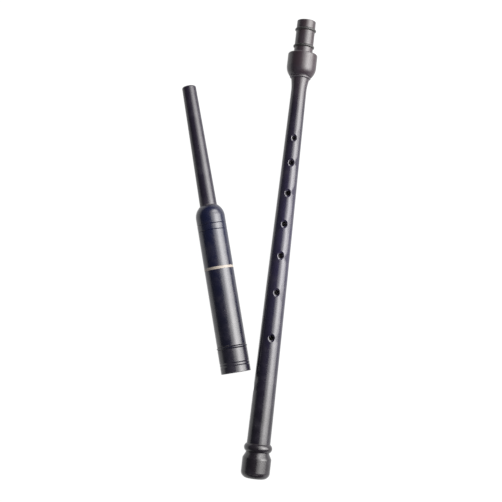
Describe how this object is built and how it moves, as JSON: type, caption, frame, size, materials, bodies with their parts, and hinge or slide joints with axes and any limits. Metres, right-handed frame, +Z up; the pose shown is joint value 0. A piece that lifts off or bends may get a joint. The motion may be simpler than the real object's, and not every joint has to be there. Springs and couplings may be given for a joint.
{
  "type": "practice chanter",
  "caption": "Bagpipe practice chanter in turned black plastic, taken apart: a blow stem and barrel section beside a finger-holed pipe with a sealed tenon and a rounded sole.",
  "frame": {"origin": "under the middle of the whole outline, on the surface that both sections lie on", "axes": "+Y along the top section towards its mouthpiece, +X from the top section towards the chanter, +Z up from the table"},
  "size_m": [0.12, 0.3506, 0.0238],
  "materials": {
    "black_plastic": "satin, fine turning marks",
    "seal_rubber": "matt",
    "chamber_plastic": "satin"
  },
  "bodies": {
    "chanter": {"chanter_tube": "black_plastic", "sole": "black_plastic", "tenon_ring_upper": "seal_rubber", "tenon_ring_lower": "seal_rubber"},
    "seam_ring": {"seam_ring": "black_plastic"},
    "trap": {"trap_collar": "black_plastic", "reed_chamber_tube": "chamber_plastic", "chamber_cap": "chamber_plastic"},
    "barrel_seal": {"barrel_seal_ring": "seal_rubber"},
    "barrel": {"barrel": "black_plastic"},
    "stem_seal": {"stem_seal_ring": "seal_rubber"},
    "stem": {"stem": "black_plastic"}
  },
  "joints": [
    {"name": "top_lift", "type": "slide", "parent": "chanter", "child": "seam_ring", "axis": [0, 0, 1], "range_m": [0, 0.05]},
    {"name": "collar_twist", "type": "hinge", "parent": "seam_ring", "child": "trap", "pos_m": [-0.04812, -0.07097, 0.0119], "axis": [0, 1, 0], "continuous": true},
    {"name": "barrel_twist", "type": "hinge", "parent": "trap", "child": "barrel_seal", "pos_m": [-0.04812, -0.07097, 0.0119], "axis": [0, 1, 0], "continuous": true},
    {"name": "barrel_draw", "type": "slide", "parent": "barrel_seal", "child": "barrel", "axis": [0, 1, 0], "range_m": [0, 0.066]},
    {"name": "stem_draw", "type": "slide", "parent": "barrel", "child": "stem_seal", "axis": [0, 1, 0], "range_m": [0, 0.02]},
    {"name": "stem_twist", "type": "hinge", "parent": "stem_seal", "child": "stem", "pos_m": [-0.04812, -0.07097, 0.0119], "axis": [0, 1, 0], "continuous": true}
  ]
}
